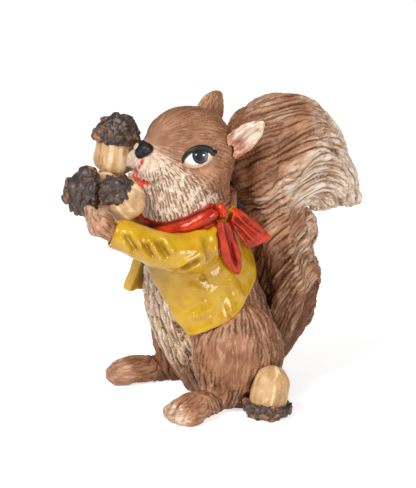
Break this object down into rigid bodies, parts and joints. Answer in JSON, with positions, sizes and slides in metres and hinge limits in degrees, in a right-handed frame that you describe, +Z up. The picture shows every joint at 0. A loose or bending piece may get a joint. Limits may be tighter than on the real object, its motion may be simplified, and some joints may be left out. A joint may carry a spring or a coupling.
{
  "type": "squirrel figurine",
  "caption": "Painted resin squirrel that sits upright in a short jacket and neckerchief, hugs acorns to its mouth and raises a curled bushy tail; stands on a shelf as an ornament",
  "frame": {"origin": "on the ground plane, on the torso's flat underside, in the middle of the squirrel's width", "axes": "+Z up; the squirrel faces -Y; its left side is +X"},
  "size_m": [0.0549, 0.0834, 0.082],
  "materials": {
    "fur": "brown paint with dark wash in carved fur and a pale dry-brush, satin",
    "paw": "pale brown paint with dark wash between the toes, satin",
    "eye": "hand-painted black iris on cream, clear gloss",
    "nose": "black gloss paint",
    "jacket_yellow": "mustard gloss enamel with brown wash in the folds",
    "kerchief_red": "red gloss enamel with darker creases",
    "nut_tan": "tan satin paint with brown streaks along the nut",
    "cap_brown": "dark brown paint, lumps dry-brushed orange-brown"
  },
  "bodies": {
    "root": {"torso": "fur", "left_haunch": "fur", "right_haunch": "fur", "tail": "fur", "head": "fur", "left_ear": "fur", "right_ear": "fur", "left_hind_foot": "paw", "right_hind_foot": "paw", "left_forepaw": "paw", "right_forepaw": "paw", "left_eye": "eye", "right_eye": "eye", "nose": "nose", "jacket": "jacket_yellow", "left_sleeve": "jacket_yellow", "right_sleeve": "jacket_yellow", "neckerchief_band": "kerchief_red", "neckerchief_knot": "kerchief_red", "neckerchief_lower_end": "kerchief_red", "neckerchief_upper_end": "kerchief_red", "upper_acorn_nut": "nut_tan", "near_acorn_nut": "nut_tan", "front_acorn_nut": "nut_tan", "ground_acorn_nut": "nut_tan", "upper_acorn_cap": "cap_brown", "near_acorn_cap": "cap_brown", "front_acorn_cap": "cap_brown", "ground_acorn_cap": "cap_brown"}
  },
  "joints": []
}
